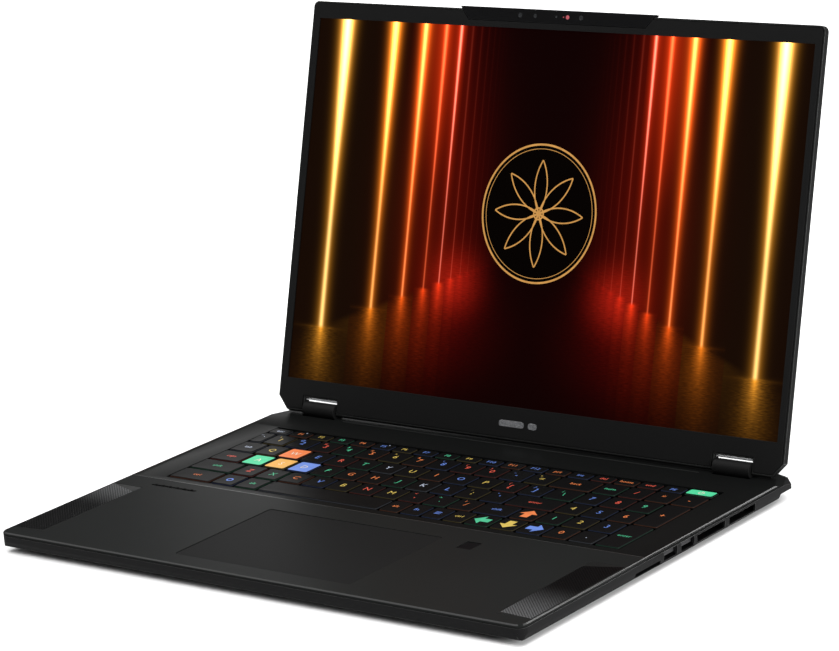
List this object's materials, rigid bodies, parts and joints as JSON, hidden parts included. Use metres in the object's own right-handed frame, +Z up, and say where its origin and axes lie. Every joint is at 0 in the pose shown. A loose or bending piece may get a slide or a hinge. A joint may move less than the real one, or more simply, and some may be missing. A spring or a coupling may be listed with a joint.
{
  "type": "laptop computer",
  "caption": "Large-screen laptop computer, standing open, with a lit keyboard and number pad, a touchpad, side sockets and a hinged lid with a camera strip.",
  "frame": {"origin": "on the table, under the middle of the open laptop: half-way across its width, and half-way from the front edge to the rearmost point of the open lid", "axes": "+X to the right of the person who uses it, along its width; +Y from the front edge towards the hinge; +Z up from the table"},
  "size_m": [0.3998, 0.3536, 0.281],
  "materials": {
    "casing_black": "satin",
    "bezel_black": "satin",
    "touchpad_black": "satin",
    "key_black": "satin",
    "key_orange": "satin",
    "key_green": "satin",
    "key_amber": "satin",
    "key_blue": "satin",
    "gloss_black": "gloss",
    "screen": "satin",
    "inner_plastic": "matte",
    "steel": "satin",
    "copper": "satin",
    "circuit_board": "satin",
    "battery_wrap": "matte",
    "foot_rubber": "matte"
  },
  "bodies": {
    "base": {"bottom_cover": "casing_black", "palm_rest_deck": "casing_black", "fingerprint_reader": "gloss_black", "speaker_left": "inner_plastic", "speaker_right": "inner_plastic", "fan_housing_left": "inner_plastic", "fan_housing_right": "inner_plastic", "hinge_barrel_left": "inner_plastic", "hinge_barrel_right": "inner_plastic", "power_inlet": "inner_plastic", "audio_jack": "inner_plastic", "keyboard_backplate": "steel", "usb_a_port_front": "steel", "usb_a_port_rear": "steel", "hdmi_port": "steel", "usb_c_port": "steel", "card_reader": "steel", "heat_pipes": "copper", "heatsink_left": "copper", "heatsink_right": "copper", "mainboard": "circuit_board", "memory_module_lower": "circuit_board", "memory_module_upper": "circuit_board", "ssd_module": "circuit_board", "wifi_card": "circuit_board", "battery_pack": "battery_wrap", "front_foot_left": "foot_rubber", "front_foot_right": "foot_rubber", "rear_foot": "foot_rubber"},
    "lid": {"lid_back_cover": "casing_black", "lid_bezel": "bezel_black", "display_panel": "screen", "camera_module": "gloss_black", "panel_driver_board": "circuit_board", "display_cable": "inner_plastic", "hinge_arm_left": "steel", "hinge_arm_right": "steel"},
    "touchpad_plate": {"touchpad": "touchpad_black"},
    "function_row_keys_body": {"function_row_keys": "key_black"},
    "number_row_keys_body": {"number_row_keys": "key_black"},
    "upper_letter_keys_body": {"upper_letter_keys": "key_black"},
    "home_row_keys_body": {"home_row_keys": "key_black"},
    "lower_letter_keys_body": {"lower_letter_keys": "key_black"},
    "modifier_keys_body": {"modifier_keys": "key_black"},
    "numpad_keys_body": {"numpad_keys": "key_black"},
    "key_w_body": {"key_w": "key_orange"},
    "key_a_body": {"key_a": "key_green"},
    "key_s_body": {"key_s": "key_amber"},
    "key_d_body": {"key_d": "key_blue"},
    "key_arrow_up_body": {"key_arrow_up": "key_orange"},
    "key_arrow_left_body": {"key_arrow_left": "key_green"},
    "key_arrow_down_body": {"key_arrow_down": "key_amber"},
    "key_arrow_right_body": {"key_arrow_right": "key_blue"},
    "space_bar_body": {"space_bar": "key_black"},
    "enter_key_body": {"enter_key": "key_black"},
    "backspace_key_body": {"backspace_key": "key_black"},
    "left_shift_key_body": {"left_shift_key": "key_black"},
    "power_key_body": {"power_key": "key_green"},
    "fan_left": {"fan_rotor_left": "inner_plastic"},
    "fan_right": {"fan_rotor_right": "inner_plastic"}
  },
  "joints": [
    {"name": "display_hinge", "type": "hinge", "parent": "base", "child": "lid", "pos_m": [0, 0.09629, 0.01705], "axis": [-1, 0, 0], "range_deg": [-106.6, 73.4]},
    {"name": "touchpad_click", "type": "slide", "parent": "base", "child": "touchpad_plate", "axis": [0, 0, -1], "range_m": [0, 0.0005], "stiffness_N_per_m": 3000, "springref_m": -0.0005},
    {"name": "function_row_keys_press", "type": "slide", "parent": "base", "child": "function_row_keys_body", "axis": [0, 0, -1], "range_m": [0, 0.0015], "stiffness_N_per_m": 400, "springref_m": -0.0006},
    {"name": "number_row_keys_press", "type": "slide", "parent": "base", "child": "number_row_keys_body", "axis": [0, 0, -1], "range_m": [0, 0.0015], "stiffness_N_per_m": 400, "springref_m": -0.0006},
    {"name": "upper_letter_keys_press", "type": "slide", "parent": "base", "child": "upper_letter_keys_body", "axis": [0, 0, -1], "range_m": [0, 0.0015], "stiffness_N_per_m": 400, "springref_m": -0.0006},
    {"name": "home_row_keys_press", "type": "slide", "parent": "base", "child": "home_row_keys_body", "axis": [0, 0, -1], "range_m": [0, 0.0015], "stiffness_N_per_m": 400, "springref_m": -0.0006},
    {"name": "lower_letter_keys_press", "type": "slide", "parent": "base", "child": "lower_letter_keys_body", "axis": [0, 0, -1], "range_m": [0, 0.0015], "stiffness_N_per_m": 400, "springref_m": -0.0006},
    {"name": "modifier_keys_press", "type": "slide", "parent": "base", "child": "modifier_keys_body", "axis": [0, 0, -1], "range_m": [0, 0.0015], "stiffness_N_per_m": 400, "springref_m": -0.0006},
    {"name": "numpad_keys_press", "type": "slide", "parent": "base", "child": "numpad_keys_body", "axis": [0, 0, -1], "range_m": [0, 0.0015], "stiffness_N_per_m": 400, "springref_m": -0.0006},
    {"name": "key_w_press", "type": "slide", "parent": "base", "child": "key_w_body", "axis": [0, 0, -1], "range_m": [0, 0.0015], "stiffness_N_per_m": 400, "springref_m": -0.0006},
    {"name": "key_a_press", "type": "slide", "parent": "base", "child": "key_a_body", "axis": [0, 0, -1], "range_m": [0, 0.0015], "stiffness_N_per_m": 400, "springref_m": -0.0006},
    {"name": "key_s_press", "type": "slide", "parent": "base", "child": "key_s_body", "axis": [0, 0, -1], "range_m": [0, 0.0015], "stiffness_N_per_m": 400, "springref_m": -0.0006},
    {"name": "key_d_press", "type": "slide", "parent": "base", "child": "key_d_body", "axis": [0, 0, -1], "range_m": [0, 0.0015], "stiffness_N_per_m": 400, "springref_m": -0.0006},
    {"name": "key_arrow_up_press", "type": "slide", "parent": "base", "child": "key_arrow_up_body", "axis": [0, 0, -1], "range_m": [0, 0.0015], "stiffness_N_per_m": 400, "springref_m": -0.0006},
    {"name": "key_arrow_left_press", "type": "slide", "parent": "base", "child": "key_arrow_left_body", "axis": [0, 0, -1], "range_m": [0, 0.0015], "stiffness_N_per_m": 400, "springref_m": -0.0006},
    {"name": "key_arrow_down_press", "type": "slide", "parent": "base", "child": "key_arrow_down_body", "axis": [0, 0, -1], "range_m": [0, 0.0015], "stiffness_N_per_m": 400, "springref_m": -0.0006},
    {"name": "key_arrow_right_press", "type": "slide", "parent": "base", "child": "key_arrow_right_body", "axis": [0, 0, -1], "range_m": [0, 0.0015], "stiffness_N_per_m": 400, "springref_m": -0.0006},
    {"name": "space_bar_press", "type": "slide", "parent": "base", "child": "space_bar_body", "axis": [0, 0, -1], "range_m": [0, 0.0015], "stiffness_N_per_m": 400, "springref_m": -0.0006},
    {"name": "enter_key_press", "type": "slide", "parent": "base", "child": "enter_key_body", "axis": [0, 0, -1], "range_m": [0, 0.0015], "stiffness_N_per_m": 400, "springref_m": -0.0006},
    {"name": "backspace_key_press", "type": "slide", "parent": "base", "child": "backspace_key_body", "axis": [0, 0, -1], "range_m": [0, 0.0015], "stiffness_N_per_m": 400, "springref_m": -0.0006},
    {"name": "left_shift_key_press", "type": "slide", "parent": "base", "child": "left_shift_key_body", "axis": [0, 0, -1], "range_m": [0, 0.0015], "stiffness_N_per_m": 400, "springref_m": -0.0006},
    {"name": "power_key_press", "type": "slide", "parent": "base", "child": "power_key_body", "axis": [0, 0, -1], "range_m": [0, 0.0015], "stiffness_N_per_m": 400, "springref_m": -0.0006},
    {"name": "fan_left_spin", "type": "hinge", "parent": "base", "child": "fan_left", "pos_m": [-0.14, 0.02819, 0.0059], "axis": [0, 0, 1], "continuous": true},
    {"name": "fan_right_spin", "type": "hinge", "parent": "base", "child": "fan_right", "pos_m": [0.14, 0.02819, 0.0059], "axis": [0, 0, 1], "continuous": true}
  ]
}
